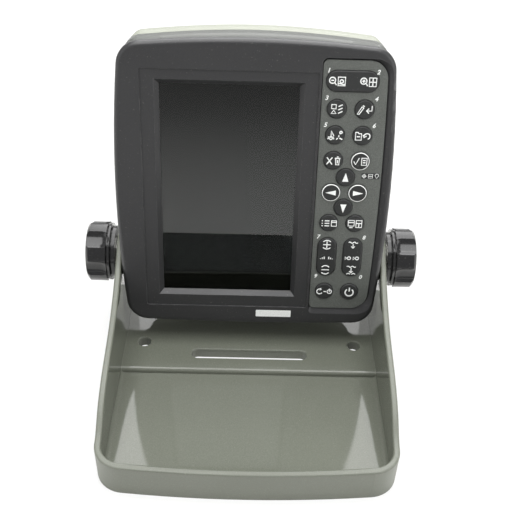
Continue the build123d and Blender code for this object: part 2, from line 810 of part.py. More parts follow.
with BuildPart() as right_knob:
    with BuildSketch(knob_plane):
        with BuildLine():
            Polyline(
                (0, 0),
                (0, knob_collar / 2),
                (collar_length, knob_collar / 2),
                (collar_length, knob_collar / 2 - groove_depth),
                (ring_start, knob_collar / 2 - groove_depth),
                (ring_start, knob_radius - groove_width),
                (ring_start + ring_length, knob_radius - groove_width),
                (ring_start + ring_length, knob_radius - groove_depth - groove_width),
                (body_start, knob_radius - groove_depth - groove_width),
                (body_start, knob_radius),
                (knob_length - knob_crown - crown_edge, knob_radius),
                (knob_length - knob_crown, knob_radius - crown_edge),
            )
            ThreePointArc(
                (knob_length - knob_crown, knob_radius - crown_edge),
                (knob_length - knob_crown / 4, (knob_radius - crown_edge) / 2),
                (knob_length, 0),
            )
            Line((knob_length, 0), (0, 0))
        make_face()
    revolve(axis=knob_axis)
    with BuildSketch(Plane.YZ.offset(knob_face + body_start + flute_run)):
        with Locations((pivot_back, pivot_height)):
            with PolarLocations(flute_reach, flute_count):
                Circle(flute_radius)
    extrude(amount=knob_length, mode=Mode.SUBTRACT)
    for flute in range(flute_count):
        turn = radians(360 * flute / flute_count)
        flute_end = (
            knob_face + body_start + flute_run,
            pivot_back + flute_reach * cos(turn),
            pivot_height + flute_reach * sin(turn),
        )
        with Locations(flute_end):
            Sphere(flute_radius, mode=Mode.SUBTRACT)
    add(right_stud.part, mode=Mode.SUBTRACT)

pivot_pieces = {
    "friction_pad": pivot_disc(pad_inner, pad_thickness, pad_diameter, stud_diameter + 2 * stud_clearance),
    "threaded_insert": pivot_disc(
        pad_inner - insert_length, insert_length, insert_diameter, stud_diameter + 2 * thread_clearance
    ),
    "knob_washer": pivot_disc(
        boss_face + pivot_gap, washer_thickness, washer_diameter, stud_diameter + 2 * stud_clearance
    ),
    "knob_stud": right_stud.part,
    "knob": right_knob.part,
}
for name, piece in pivot_pieces.items():
    with BuildPart() as right_piece:
        add(piece)
    save(right_piece, f"right_{name}")
    with BuildPart() as left_piece:
        mirror(piece, about=Plane.YZ)
    save(left_piece, f"left_{name}")
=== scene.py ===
from math import cos, pi, radians, sin

import bmesh
import bpy
from mathutils import Matrix, Vector


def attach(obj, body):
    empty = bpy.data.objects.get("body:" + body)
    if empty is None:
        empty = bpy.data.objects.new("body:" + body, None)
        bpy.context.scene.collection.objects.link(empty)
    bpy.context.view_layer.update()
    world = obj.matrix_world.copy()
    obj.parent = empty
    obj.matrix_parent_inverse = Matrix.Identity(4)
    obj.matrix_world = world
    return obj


# A fish finder on its tray bracket. Metres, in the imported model's own frame.
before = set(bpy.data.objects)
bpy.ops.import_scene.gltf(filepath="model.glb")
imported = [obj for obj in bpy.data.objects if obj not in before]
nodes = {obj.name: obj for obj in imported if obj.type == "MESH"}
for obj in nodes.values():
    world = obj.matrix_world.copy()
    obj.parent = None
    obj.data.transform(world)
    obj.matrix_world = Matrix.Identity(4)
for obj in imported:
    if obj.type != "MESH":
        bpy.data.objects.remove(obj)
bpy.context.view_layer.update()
print("frame loaded:", len(nodes), "nodes")

mm = 0.001


def srgb(red, green, blue):
    # 0-255 display values to the linear colour that sockets take
    return tuple(
        v / 255 / 12.92 if v / 255 <= 0.04045 else ((v / 255 + 0.055) / 1.055) ** 2.4
        for v in (red, green, blue)
    ) + (1.0,)


# ---- camera ----
cameraView = {
    "place": (-1.7915 * mm, -328.6266 * mm, 321.15 * mm),
    "pitch": -37.694,
    "yaw": 1.314,
    "roll": 2.145,
    "lens": 57.797,
    "shiftX": -0.01386,
    "shiftY": -0.0002,
}


def makeCamera(view):
    pitch, yaw, roll = (radians(view[name]) for name in ("pitch", "yaw", "roll"))
    ahead = Vector((sin(yaw) * cos(pitch), cos(yaw) * cos(pitch), sin(pitch)))
    level = ahead.cross(Vector((0, 0, 1))).normalized()
    upright = level.cross(ahead)
    right = level * cos(roll) + upright * sin(roll)
    up = upright * cos(roll) - level * sin(roll)
    cameraData = bpy.data.cameras.new("camera")
    cameraData.lens = view["lens"]
    cameraData.sensor_width = 36.0
    cameraData.shift_x = view["shiftX"]
    cameraData.shift_y = view["shiftY"]
    cameraData.clip_start = 0.01
    camera = bpy.data.objects.new("camera", cameraData)
    turn = Matrix((right, up, -ahead)).transposed().to_4x4()
    camera.matrix_world = Matrix.Translation(view["place"]) @ turn
    bpy.context.scene.collection.objects.link(camera)
    bpy.context.scene.camera = camera


makeCamera(cameraView)
print("camera placed")

# ---- the head's own plane: x across, y up the screen, z out of it ----
headPlace = {"lean": 11.3, "pivotBack": 31.4, "pivotHeight": 43.9}
leanCos, leanSin = cos(radians(headPlace["lean"])), sin(radians(headPlace["lean"]))
headMatrix = Matrix(
    (
        (1, 0, 0, 0),
        (0, leanSin, -leanCos, headPlace["pivotBack"] * mm),
        (0, leanCos, leanSin, headPlace["pivotHeight"] * mm),
        (0, 0, 0, 1),
    )
)


# ---- shader helpers ----
def addNode(tree, kind, settings=None, **values):
    # a node with its properties from settings and its sockets from values
    node = tree.nodes.new(kind)
    for name, value in (settings or {}).items():
        setattr(node, name, value)
    for name, value in values.items():
        socket = node.inputs[int(name[1:])] if name[0] == "i" and name[1:].isdigit() else node.inputs[name]
        if isinstance(value, bpy.types.NodeSocket):
            tree.links.new(value, socket)
        else:
            socket.default_value = value
    return node


def calc(tree, operation, first, second=0.0, third=0.0, clamp=False):
    node = addNode(
        tree, "ShaderNodeMath", {"operation": operation, "use_clamp": clamp}, i0=first, i1=second, i2=third
    )
    return node.outputs[0]


def ramp(tree, value, low, high, lowOut=0.0, highOut=1.0):
    node = addNode(
        tree,
        "ShaderNodeMapRange",
        {"interpolation_type": "SMOOTHSTEP"},
        Value=value,
        **{"From Min": low, "From Max": high, "To Min": lowOut, "To Max": highOut},
    )
    return node.outputs["Result"]


def mixColor(tree, factor, first, second, blend="MIX"):
    settings = {"data_type": "RGBA", "blend_type": blend}
    node = addNode(tree, "ShaderNodeMix", settings, i0=factor, i6=first, i7=second)
    return node.outputs[2]


def newGroup(name, inputs, outputs):
    # inputs: name -> (socket type, default); outputs: name -> socket type
    group = bpy.data.node_groups.new(name, "ShaderNodeTree")
    for label, (kind, default) in inputs.items():
        socket = group.interface.new_socket(label, in_out="INPUT", socket_type=kind)
        if default is not None:
            socket.default_value = default
    for label, kind in outputs.items():
        group.interface.new_socket(label, in_out="OUTPUT", socket_type=kind)
    return group, group.nodes.new("NodeGroupInput").outputs, group.nodes.new("NodeGroupOutput").inputs


def placeGroup(tree, group, **values):
    node = tree.nodes.new("ShaderNodeGroup")
    node.node_tree = group
    for name, value in values.items():
        if isinstance(value, bpy.types.NodeSocket):
            tree.links.new(value, node.inputs[name])
        else:
            node.inputs[name].default_value = value
    return node.outputs


numberSocket, vectorSocket = "NodeSocketFloat", "NodeSocketVector"


def makeGrainGroup():
    # spark-eroded mould texture: rounded pits of two sizes
    group, given, out = newGroup(
        "moldedGrain",
        {"Vector": (vectorSocket, None), "Size": (numberSocket, 0.4)},
        {"Height": numberSocket, "Shade": numberSocket},
    )
    scale = calc(group, "DIVIDE", 1000.0, given["Size"])
    fine = addNode(group, "ShaderNodeTexNoise", Vector=given["Vector"], Scale=scale, Detail=2.0,
                   Roughness=0.6)
    cells = addNode(
        group, "ShaderNodeTexVoronoi", {"feature": "SMOOTH_F1"}, Vector=given["Vector"], Scale=scale,
        Smoothness=0.6
    )
    height = calc(group, "MULTIPLY_ADD", fine.outputs[0], 0.6,
                  calc(group, "MULTIPLY", cells.outputs[0], 0.5))
    group.links.new(height, out["Height"])
    group.links.new(ramp(group, height, 0.25, 0.75), out["Shade"])
    return group


def makeCloudGroup():
    # slow changes from handling and dust: broad clouds with a few streaks
    group, given, out = newGroup(
        "handledClouds",
        {"Vector": (vectorSocket, None), "Size": (numberSocket, 30.0)},
        {"Cloud": numberSocket, "Speck": numberSocket},
    )
    scale = calc(group, "DIVIDE", 1000.0, given["Size"])
    broad = addNode(group, "ShaderNodeTexNoise", Vector=given["Vector"], Scale=scale, Detail=4.0,
                    Roughness=0.55)
    speck = addNode(group, "ShaderNodeTexNoise", Vector=given["Vector"], Scale=1400.0, Detail=1.0)
    group.links.new(ramp(group, broad.outputs[0], 0.35, 0.7), out["Cloud"])
    group.links.new(ramp(group, speck.outputs[0], 0.70, 0.76), out["Speck"])
    return group


def makeWearGroup():
    # worn edges: where a rounded normal leaves the true one, broken up by noise
    group, given, out = newGroup(
        "edgeWear",
        {"Vector": (vectorSocket, None), "Radius": (numberSocket, 0.5), "Amount": (numberSocket, 0.5)},
        {"Mask": numberSocket, "Normal": vectorSocket},
    )
    radius = calc(group, "MULTIPLY", given["Radius"], mm)
    rounded = addNode(group, "ShaderNodeBevel", {"samples": 4}, Radius=radius)
    flat = addNode(group, "ShaderNodeNewGeometry")
    alike = addNode(
        group, "ShaderNodeVectorMath", {"operation": "DOT_PRODUCT"}, i0=rounded.outputs[0],
        i1=flat.outputs["Normal"]
    )
    breaks = addNode(group, "ShaderNodeTexNoise", Vector=given["Vector"], Scale=260.0, Detail=3.0)
    edge = ramp(group, alike.outputs["Value"], 0.995, 0.9)
    worn = calc(group, "MULTIPLY", edge, ramp(group, breaks.outputs[0], 0.35, 0.65))
    group.links.new(calc(group, "MULTIPLY", worn, given["Amount"]), out["Mask"])
    group.links.new(rounded.outputs[0], out["Normal"])
    return group


grainGroup = makeGrainGroup()
cloudGroup = makeCloudGroup()
wearGroup = makeWearGroup()


def newMaterial(name):
    material = bpy.data.materials.new(name)
    material.use_nodes = True
    tree = material.node_tree
    shader = tree.nodes["Principled BSDF"]
    place = tree.nodes.new("ShaderNodeTexCoord").outputs["Object"]
    return material, tree, shader, place


def plastic(name, look):
    # moulded plastic or rubber: grain, worn edges, clouds of handling, specks of dust
    material, tree, shader, place = newMaterial(name)
    grain = placeGroup(tree, grainGroup, Vector=place, Size=look.get("grain", 0.4))
    clouds = placeGroup(tree, cloudGroup, Vector=place, Size=look.get("cloud", 30.0))
    wear = placeGroup(tree, wearGroup, Vector=place, Radius=look.get("edge", 0.3),
                      Amount=look.get("wear", 0.3))
    base = mixColor(tree, grain["Shade"], look["dark"], look["light"])
    base = mixColor(tree, calc(tree, "MULTIPLY", clouds["Cloud"], look.get("clouding", 0.25)), base,
                    look["light"])
    base = mixColor(tree, wear["Mask"], base, look.get("worn", look["light"]))
    base = mixColor(tree, calc(tree, "MULTIPLY", clouds["Speck"], look.get("specks", 0.1)), base,
                    srgb(190, 190, 180))
    tree.links.new(base, shader.inputs["Base Color"])
    rough = calc(tree, "MULTIPLY_ADD", clouds["Cloud"], look.get("smear", 0.08), look["rough"])
    rough = calc(tree, "MULTIPLY_ADD", grain["Shade"], look.get("grainRough", 0.05), rough, clamp=True)
    tree.links.new(rough, shader.inputs["Roughness"])
    bump = addNode(
        tree, "ShaderNodeBump", Strength=look.get("bump", 0.3), Distance=look.get("depth", 0.05) * mm,
        Height=grain["Height"], Normal=wear["Normal"],
    )
    tree.links.new(bump.outputs[0], shader.inputs["Normal"])
    shader.inputs["IOR"].default_value = look.get("ior", 1.5)
    shader.inputs["Specular IOR Level"].default_value = look.get("gloss", 0.5)
    return material, tree, shader, place


def metal(name, look):
    # plated or machined metal with fine turning lines about an axis
    material, tree, shader, place = newMaterial(name)
    clouds = placeGroup(tree, cloudGroup, Vector=place, Size=6.0)
    wear = placeGroup(tree, wearGroup, Vector=place, Radius=0.2, Amount=0.6)
    lines = addNode(
        tree, "ShaderNodeTexNoise", Vector=addNode(
            tree, "ShaderNodeMapping", Vector=place, Scale=look.get("lines", (9000, 300, 300))
        ).outputs[0], Scale=1.0, Detail=2.0,
    )
    base = mixColor(tree, lines.outputs[0], look["dark"], look["light"])
    base = mixColor(tree, wear["Mask"], base, look["light"])
    tree.links.new(base, shader.inputs["Base Color"])
    rough = calc(tree, "MULTIPLY_ADD", clouds["Cloud"], 0.15, look["rough"])
    tree.links.new(rough, shader.inputs["Roughness"])
    bump = addNode(
        tree, "ShaderNodeBump", Strength=0.15, Distance=0.02 * mm, Height=lines.outputs[0],
        Normal=wear["Normal"]
    )
    tree.links.new(bump.outputs[0], shader.inputs["Normal"])
    shader.inputs["Metallic"].default_value = 1.0
    return material


def dress(name, material):
    # the node wears this material alone
    slots = nodes[name].data.materials
    slots.clear()
    slots.append(material)


# ---- moulded pieces ----
plasticLooks = {
    "rearCase": {
        "dark": srgb(128, 131, 119), "light": srgb(142, 145, 133), "rough": 0.45, "grain": 0.5,
        "depth": 0.04,
        "bump": 0.3, "wear": 0.25, "worn": srgb(176, 178, 168),
    },
    # the dark band's plastic, its own colour in the band, and also painted shade on the lower sides and
    # underside of the rear case
    "caseBandAndShade": {
        "dark": srgb(66, 68, 65), "light": srgb(78, 80, 76), "rough": 0.36, "grain": 0.4, "depth": 0.04,
        "bump": 0.3, "wear": 0.3, "worn": srgb(120, 120, 116),
    },
    "bezel": {
        "dark": srgb(34, 34, 36), "light": srgb(44, 44, 45), "rough": 0.34, "grain": 0.35, "depth": 0.05,
        "bump": 0.35, "wear": 0.45, "worn": srgb(120, 120, 120), "clouding": 0.35,
    },
    "keyPanel": {
        "dark": srgb(66, 68, 65), "light": srgb(90, 93, 89), "rough": 0.46, "grain": 0.45, "depth": 0.06,
        "bump": 0.5, "wear": 0.1, "clouding": 0.2,
    },
    "keyRubber": {
        "dark": srgb(26, 27, 27), "light": srgb(34, 35, 35), "rough": 0.42, "grain": 0.3, "depth": 0.03,
        "bump": 0.3, "wear": 0.15, "worn": srgb(80, 80, 80),
    },
    "knob": {
        "dark": srgb(18, 18, 19), "light": srgb(25, 25, 26), "rough": 0.12, "grain": 0.6, "depth": 0.01,
        "bump": 0.1, "wear": 0.35, "worn": srgb(70, 70, 70), "smear": 0.12,
    },
    "blackRubber": {
        "dark": srgb(22, 22, 22), "light": srgb(32, 32, 31), "rough": 0.7, "grain": 0.3, "depth": 0.04,
    },
    "siliconeMat": {
        "dark": srgb(150, 150, 146), "light": srgb(172, 172, 167), "rough": 0.6, "grain": 0.4,
        "depth": 0.02,
    },
    "socketPlastic": {
        "dark": srgb(24, 24, 25), "light": srgb(36, 36, 36), "rough": 0.34, "grain": 0.3,
        "depth": 0.02, "wear": 0.3,
    },
    "solderMask": {
        "dark": srgb(20, 76, 38), "light": srgb(30, 96, 50), "rough": 0.3, "grain": 1.2, "depth": 0.02,
    },
    "ceramic": {
        "dark": srgb(196, 184, 152), "light": srgb(214, 204, 176), "rough": 0.5, "grain": 0.3,
        "depth": 0.01,
    },
}
plastics = {name: plastic(name, look)[0] for name, look in plasticLooks.items()}

metalLooks = {
    "platedSteel": {"dark": srgb(168, 168, 164), "light": srgb(206, 206, 200), "rough": 0.2},
    "brass": {"dark": srgb(176, 138, 70), "light": srgb(212, 176, 104), "rough": 0.25},
    "stampedSteel": {"dark": srgb(150, 150, 148), "light": srgb(184, 184, 180), "rough": 0.35},
}
metals = {name: metal(name, look) for name, look in metalLooks.items()}


def trayMaterial():
    # satin outside, polished inside: inner faces look towards the middle of the well
    look = {
        "dark": srgb(98, 101, 91), "light": srgb(108, 111, 101), "rough": 0.34, "grain": 0.5, "depth": 0.02,
        "bump": 0.2, "wear": 0.35, "worn": srgb(156, 158, 148), "edge": 0.35, "clouding": 0.3,
    }
    wellMiddle = (0, -25 * mm, 12 * mm)
    material, tree, shader, place = plastic("trayPlastic", look)
    facing = addNode(tree, "ShaderNodeNewGeometry").outputs["Normal"]
    away = addNode(tree, "ShaderNodeVectorMath", {"operation": "SUBTRACT"}, i0=place,
                   i1=wellMiddle).outputs[0]
    outward = addNode(tree, "ShaderNodeVectorMath", {"operation": "DOT_PRODUCT"}, i0=facing, i1=away)
    inside = ramp(tree, outward.outputs["Value"], 2 * mm, -2 * mm)
    satin = shader.inputs["Roughness"].links[0].from_socket
    rough = calc(tree, "MULTIPLY_ADD", inside, calc(tree, "MULTIPLY", satin, -0.86), satin)
    tree.links.new(rough, shader.inputs["Roughness"])
    return material


def glassMaterial():
    # dark tinted pane
    material, tree, shader, place = newMaterial("tintedGlass")
    clouds = placeGroup(tree, cloudGroup, Vector=place, Size=18.0)
    shader.inputs["Base Color"].default_value = srgb(120, 126, 124)
    shader.inputs["Transmission Weight"].default_value = 1.0
    shader.inputs["IOR"].default_value = 1.5
    tree.links.new(calc(tree, "MULTIPLY", clouds["Cloud"], 0.004), shader.inputs["Roughness"])
    return material


def displayMaterial():
    # switched-off display: almost black, a little lighter in slow clouds
    material, tree, shader, place = newMaterial("displayOff")
    clouds = placeGroup(tree, cloudGroup, Vector=place, Size=40.0)
    tree.links.new(mixColor(tree, clouds["Cloud"], srgb(4, 5, 5), srgb(7, 8, 8)),
                   shader.inputs["Base Color"])
    tree.links.new(calc(tree, "MULTIPLY_ADD", clouds["Cloud"], 0.05, 0.6), shader.inputs["Roughness"])
    shader.inputs["Specular IOR Level"].default_value = 0.0
    return material


dress("tray_bracket", trayMaterial())
dress("screen_window", glassMaterial())
dress("lcd_panel", displayMaterial())
nodeFinishes = {
    # the moulding under the shell wears the dark band plastic: its own colour in the band, painted shade
    # where it shows below the pale cover
    "caseBandAndShade": ["rear_case"],
    "bezel": ["front_bezel"],
    "keyPanel": ["key_panel"],
    "keyRubber": [name for name in nodes if name.startswith("key_") and name != "key_panel"],
    "knob": ["left_knob", "right_knob"],
    "blackRubber": ["case_gasket", "buzzer", "left_friction_pad", "right_friction_pad"],
    "siliconeMat": ["keypad_mat"],
    "socketPlastic": ["power_socket", "transducer_socket"],
    "solderMask": ["keypad_board", "main_board"],
    "ceramic": ["gps_antenna"],
    "platedSteel": [
        "case_screws", "power_socket_nut", "transducer_socket_nut", "left_knob_washer", "right_knob_washer",
        "left_knob_stud", "right_knob_stud",
    ],
    "brass": ["left_threaded_insert", "right_threaded_insert"],
    "stampedSteel": ["lcd_frame"],
}
for finish, names in nodeFinishes.items():
    for name in names:
        dress(name, plastics.get(finish) or metals[finish])
print("nodes dressed")


# ---- printed signs ----
def printMaterial(name, color):
    material, tree, shader, place = newMaterial(name)
    grain = placeGroup(tree, grainGroup, Vector=place, Size=0.25)
    worn = mixColor(tree, grain["Shade"], srgb(*(int(v * 0.86) for v in color)), srgb(*color))
    tree.links.new(worn, shader.inputs["Base Color"])
    tree.links.new(calc(tree, "MULTIPLY_ADD", grain["Shade"], 0.1, 0.45), shader.inputs["Roughness"])
    return material


whitePrint = printMaterial("whitePrint", (236, 238, 236))
darkPrint = printMaterial("darkPrint", (34, 35, 36))


def linkPiece(name, mesh, material, body):
    piece = bpy.data.objects.new(name, mesh)
    bpy.context.scene.collection.objects.link(piece)
    mesh.materials.clear()
    mesh.materials.append(material)
    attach(piece, body)
    return piece


signDepth = 0.08  # how far the print stands over a key, in millimetres
signScale = 1.07


def strokeMesh(strokes, width):
    # strokes: lists of points in millimetres; a closed one repeats its first point
    curve = bpy.data.curves.new("stroke", "CURVE")
    curve.dimensions = "3D"
    curve.bevel_depth = width / 2
    curve.bevel_resolution = 1
    curve.use_fill_caps = True
    for points in strokes:
        closed = points[0] == points[-1] and len(points) > 2
        if closed:
            points = points[:-1]
        spline = curve.splines.new("POLY")
        spline.points.add(len(points) - 1)
        for target, (x, y) in zip(spline.points, points):
            target.co = (x, y, 0, 1)
        spline.use_cyclic_u = closed
    holder = bpy.data.objects.new("stroke", curve)
    mesh = bpy.data.meshes.new_from_object(holder)
    bpy.data.objects.remove(holder)
    bpy.data.curves.remove(curve)
    return mesh


def arc(x, y, radius, start, end, steps=16):
    turns = [radians(start + (end - start) * step / steps) for step in range(steps + 1)]
    points = [(x + radius * cos(turn), y + radius * sin(turn)) for turn in turns]
    return points[:-1] + [points[0]] if abs(end - start) >= 360 else points


def box(left, bottom, right, top):
    return [(left, bottom), (right, bottom), (right, top), (left, top), (left, bottom)]


def wave(left, right, y, height, waves, steps=18):
    return [
        (left + (right - left) * step / steps, y + height * sin(2 * pi * waves * step / steps))
        for step in range(steps + 1)
    ]


def magnifier(x, y, radius):
    foot = radius * 0.72
    return [arc(x, y, radius, 0, 360), [(x + foot, y - foot), (x + foot + 0.9, y - foot - 1.1)]]


def fish(x, y, long, tall):
    body = [(x - long / 2 + 0.5, y), *arc(x + 0.3, y, tall / 2, 140, -140, 12), (x - long / 2 + 0.5, y)]
    tail = [(x - long / 2 + 0.4, y), (x - long / 2 - 0.5, y + tall / 2), (x - long / 2 - 0.5, y - tall / 2)]
    return body, tail + tail[:1]


def triangle(x, y, wide, tall, turn):
    corners = [(-wide / 2, -tall / 2), (wide / 2, -tall / 2), (0, tall / 2)]
    turnCos, turnSin = cos(radians(turn)), sin(radians(turn))
    return [(x + a * turnCos - b * turnSin, y + a * turnSin + b * turnCos) for a, b in corners]


# every sign is its open strokes and its filled shapes, in millimetres about the middle of its key
keySigns = {
    "key_zoom": (
        magnifier(-9.0, 0.4, 1.35) + [[(-9.7, 0.4), (-8.3, 0.4)]]
        + [box(-6.5, -1.9, -3.4, 1.9), arc(-4.95, 0, 0.75, 0, 360, 10), wave(-6.5, -3.4, -1.2, 0.2, 1, 8)]
        + magnifier(4.7, 0.4, 1.35) + [[(4.0, 0.4), (5.4, 0.4)], [(4.7, -0.3), (4.7, 1.1)]]
        + [box(7.2, -1.9, 10.3, 1.9), [(7.2, 0), (10.3, 0)], [(8.75, -1.9), (8.75, 1.9)]],
        [],
    ),
    "key_mark": (
        [box(-2.4, 0.2, -0.4, 2.1), [(-2.5, -2.0), (-1.4, -0.4), (-0.3, -2.0), (-2.5, -2.0)]]
        + [[(0.6, 1.2), (2.5, 2.1)], [(0.6, -0.3), (2.5, 0.6)], [(0.6, -1.9), (2.5, -0.9)]],
        [],
    ),
    "key_input": (
        [[(-3.2, -1.9), (-1.3, 1.4), (-0.5, 0.9), (-2.4, -2.1), (-3.2, -1.9)], [(-1.0, 2.0), (-0.2, 1.5)]]
        + [[(3.2, 1.9), (3.2, -0.4), (0.9, -0.4)], [(1.9, 0.7), (0.8, -0.4), (1.9, -1.5)]],
        [],
    ),
    "key_track": (
        [wave(-3.3, -0.4, -1.7, 0.3, 1.5, 12), [(-3.2, -0.8), (-0.5, -0.8)]]
        + [[(-1.8, -0.8), (-1.8, 2.1), (-0.6, -0.1)]]
        + [[(0.6, -1.9), (1.3, -1.2)], [(1.7, -0.8), (1.7, 0.2)], [(2.0, 0.8), (2.9, 1.2)]]
        + [arc(2.6, 1.5, 0.55, 0, 360, 8), wave(2.1, 3.4, -1.5, 0.25, 1, 8)],
        [],
    ),
    "key_recall": (
        [[(-3.2, 1.7), (-3.2, -1.9), (-0.5, -1.9), (-0.5, 1.1), (-1.7, 1.1), (-2.1, 1.7), (-3.2, 1.7)]]
        + [[(-2.6, -0.3), (-1.1, -0.3)]]
        + [arc(2.0, -0.1, 1.35, 200, -70, 14), [(0.2, 0.6), (0.7, -0.7), (1.8, 0.1)]],
        [],
    ),
    "key_cancel": (
        [[(-3.0, -1.7), (-0.5, 1.7)], [(-3.0, 1.7), (-0.5, -1.7)]]
        + [[(0.6, 1.3), (3.2, 1.3)], [(1.0, 1.3), (1.2, -1.8), (2.6, -1.8), (2.8, 1.3)],
           [(1.9, 0.5), (1.9, -1.1)]]
        + [[(1.5, 2.0), (2.3, 2.0)]],
        [],
    ),
    "key_confirm": (
        [[(-3.0, 0.0), (-2.1, -1.5), (-0.6, 1.7)], box(0.6, -1.7, 3.0, 1.7)]
        + [[(1.2, 0.6), (2.4, 0.6)], [(1.2, -0.5), (2.4, -0.5)]],
        [],
    ),
    "key_up": ([], [triangle(0, 0.3, 2.9, 4.3, 0)]),
    "key_down": ([], [triangle(0, -0.3, 2.9, 4.3, 180)]),
    "key_left": ([], [triangle(-0.2, 0, 2.5, 4.8, 90)]),
    "key_right": ([], [triangle(0.2, 0, 2.5, 4.8, -90)]),
    "key_menu": (
        [[(-3.4, row), (-2.9, row)] for row in (-1.3, 0, 1.3)]
        + [[(-2.0, row), (0.2, row)] for row in (-1.3, 0, 1.3)]
        + [box(1.2, -1.4, 3.6, 1.4), [(1.2, 0.6), (3.6, 0.6)]],
        [],
    ),
    "key_screen": (
        [box(-3.2, -1.1, -0.4, 1.8), [(-2.6, -1.9), (-1.0, -1.9)], [(-3.2, 0.7), (-0.4, 0.7)]]
        + [box(0.5, -1.8, 3.2, 1.8), [(0.5, 0.3), (3.2, 0.3)], [(1.85, 0.3), (1.85, -1.8)]],
        [],
    ),
    "key_gain": (
        [[(-0.2, 5.0), (-0.2, 8.6)], [(-2.0, 6.8), (1.6, 6.8)]]
        + [arc(-0.2, 6.8, 2.3, 40, 140, 8), arc(-0.2, 6.8, 2.3, 220, 320, 8)]
        + [[(x, -0.9), (x, -0.6 + 0.5 * step)] for step, x in enumerate((-2.9, -2.0, -1.1))]
        + [[(x, -0.9), (x, 0.4 - 0.5 * step)] for step, x in enumerate((1.1, 2.0, 2.9))]
        + [[(-2.0, -6.8), (1.6, -6.8)], arc(-0.2, -6.8, 2.3, 40, 140, 8),
           arc(-0.2, -6.8, 2.3, 220, 320, 8)],
        [],
    ),
    "key_depth": (
        [wave(-2.2, 2.2, 8.2, 0.35, 2), [(0, 7.4), (0, 5.4)], [(-0.9, 6.2), (0, 5.2), (0.9, 6.2)]]
        + list(fish(-1.8, -0.2, 2.2, 1.5)) + list(fish(2.1, -0.2, 2.2, 1.5))
        + [wave(-2.2, 2.2, -4.8, 0.3, 2), [(0, -5.4), (0, -8.0)], [(-0.9, -7.2), (0, -8.2), (0.9, -7.2)]]
        + [[(-2.2, -8.9), (-1.2, -8.4), (-0.4, -8.9)], [(0.4, -8.9), (1.3, -8.4), (2.2, -8.9)]],
        [],
    ),
    "key_auto": (
        [arc(-2.2, 0, 1.4, 60, 330, 12), [(-1.9, 1.9), (-1.4, 1.1), (-2.3, 0.7)], [(-0.3, 0), (1.0, 0)]]
        + [arc(2.6, 0, 1.1, 0, 360, 10), [(2.6, 0), (2.6, 1.7)]],
        [],
    ),
    "key_power": ([arc(0, -0.25, 2.0, 125, 415, 20), [(0, 0.3), (0, 2.5)]], []),
}

def signPiece(name, place, body, strokes, fills, width=0.34, material=None):
    made = bmesh.new()
    if strokes:
        mesh = strokeMesh(strokes, width)
        made.from_mesh(mesh)
        bpy.data.meshes.remove(mesh)
        bmesh.ops.scale(made, vec=(1, 1, signDepth * 2 / width), verts=made.verts[:])
    for points in fills:
        face = made.faces.new([made.verts.new((x, y, 0)) for x, y in points])
        raised = bmesh.ops.extrude_face_region(made, geom=[face])
        top = [v for v in raised["geom"] if isinstance(v, bmesh.types.BMVert)]
        bmesh.ops.translate(made, vec=(0, 0, signDepth), verts=top)
    bmesh.ops.recalc_face_normals(made, faces=made.faces[:])
    bmesh.ops.scale(made, vec=(signScale, signScale, 1), verts=made.verts[:])
    placed = headMatrix @ Matrix.Scale(mm, 4) @ Matrix.Translation(place)
    bmesh.ops.transform(made, matrix=placed, verts=made.verts[:])
    mesh = bpy.data.meshes.new(name)
    made.to_mesh(mesh)
    made.free()
    return linkPiece(name, mesh, material or whitePrint, body)


# face heights over the pivot axis, and where each key's middle lies on the face
faceHeights = {"bezel": 25.9, "panel": 25.3, "keyTop": 26.2}
keyPlaces = {
    "key_zoom": (45.45, 104.3), "key_mark": (38.8, 90.9), "key_input": (52.1, 90.9),
    "key_track": (38.8, 77.9),
    "key_recall": (52.1, 77.9), "key_cancel": (38.8, 64.9), "key_confirm": (52.1, 64.9),
    "key_up": (45.45, 56.2),
    "key_left": (38.8, 48.1), "key_right": (52.1, 48.1), "key_down": (45.45, 40.0),
    "key_menu": (38.8, 31.4),
    "key_screen": (52.1, 31.4), "key_gain": (38.8, 12.1), "key_depth": (52.1, 12.1),
    "key_auto": (38.8, -8.1),
    "key_power": (52.1, -8.1),
}
strokeWidths = {"key_power": 0.7, "key_depth": 0.5, "key_gain": 0.55}
for name, (strokes, fills) in keySigns.items():
    place = (*keyPlaces[name], faceHeights["keyTop"])
    signPiece(name + "_sign", place, name + "_body", strokes, fills, strokeWidths.get(name, 0.54))

# white rings round three keys, on the rounded edge of the key
ringLook = {"profile": [(4.16, -0.12), (4.16, 0.0), (4.36, -0.07), (4.56, -0.27), (4.5, -0.4)], "steps": 64}


def ringPiece(name):
    made = bmesh.new()
    verts = [made.verts.new((x, 0, z)) for x, z in ringLook["profile"]]
    edges = [made.edges.new(pair) for pair in zip(verts, verts[1:] + verts[:1])]
    bmesh.ops.spin(
        made, geom=verts + edges, cent=(0, 0, 0), axis=(0, 0, 1), angle=2 * pi, steps=ringLook["steps"],
        use_merge=True,
    )
    bmesh.ops.recalc_face_normals(made, faces=made.faces[:])
    x, y = keyPlaces[name]
    place = Matrix.Translation((x, y, faceHeights["keyTop"]))
    bmesh.ops.transform(made, matrix=headMatrix @ Matrix.Scale(mm, 4) @ place, verts=made.verts[:])
    mesh = bpy.data.meshes.new(name + "_ring")
    made.to_mesh(mesh)
    made.free()
    linkPiece(name + "_ring", mesh, whitePrint, name + "_body")


for name in ("key_confirm", "key_left", "key_right"):
    ringPiece(name)

# small slanted figures beside the keys that double as number keys
figures = {
    "size": 3.0,
    "slant": 0.25,
    "places": {
        "1": (33.8, 109.1), "2": (57.2, 108.8), "3": (33.6, 96.0), "4": (57.3, 96.0), "5": (33.8, 82.8),
        "6": (57.3, 82.9), "7": (33.8, 23.4), "8": (57.3, 23.4), "9": (33.7, 0.6), "0": (57.3, 0.5),
    },
}


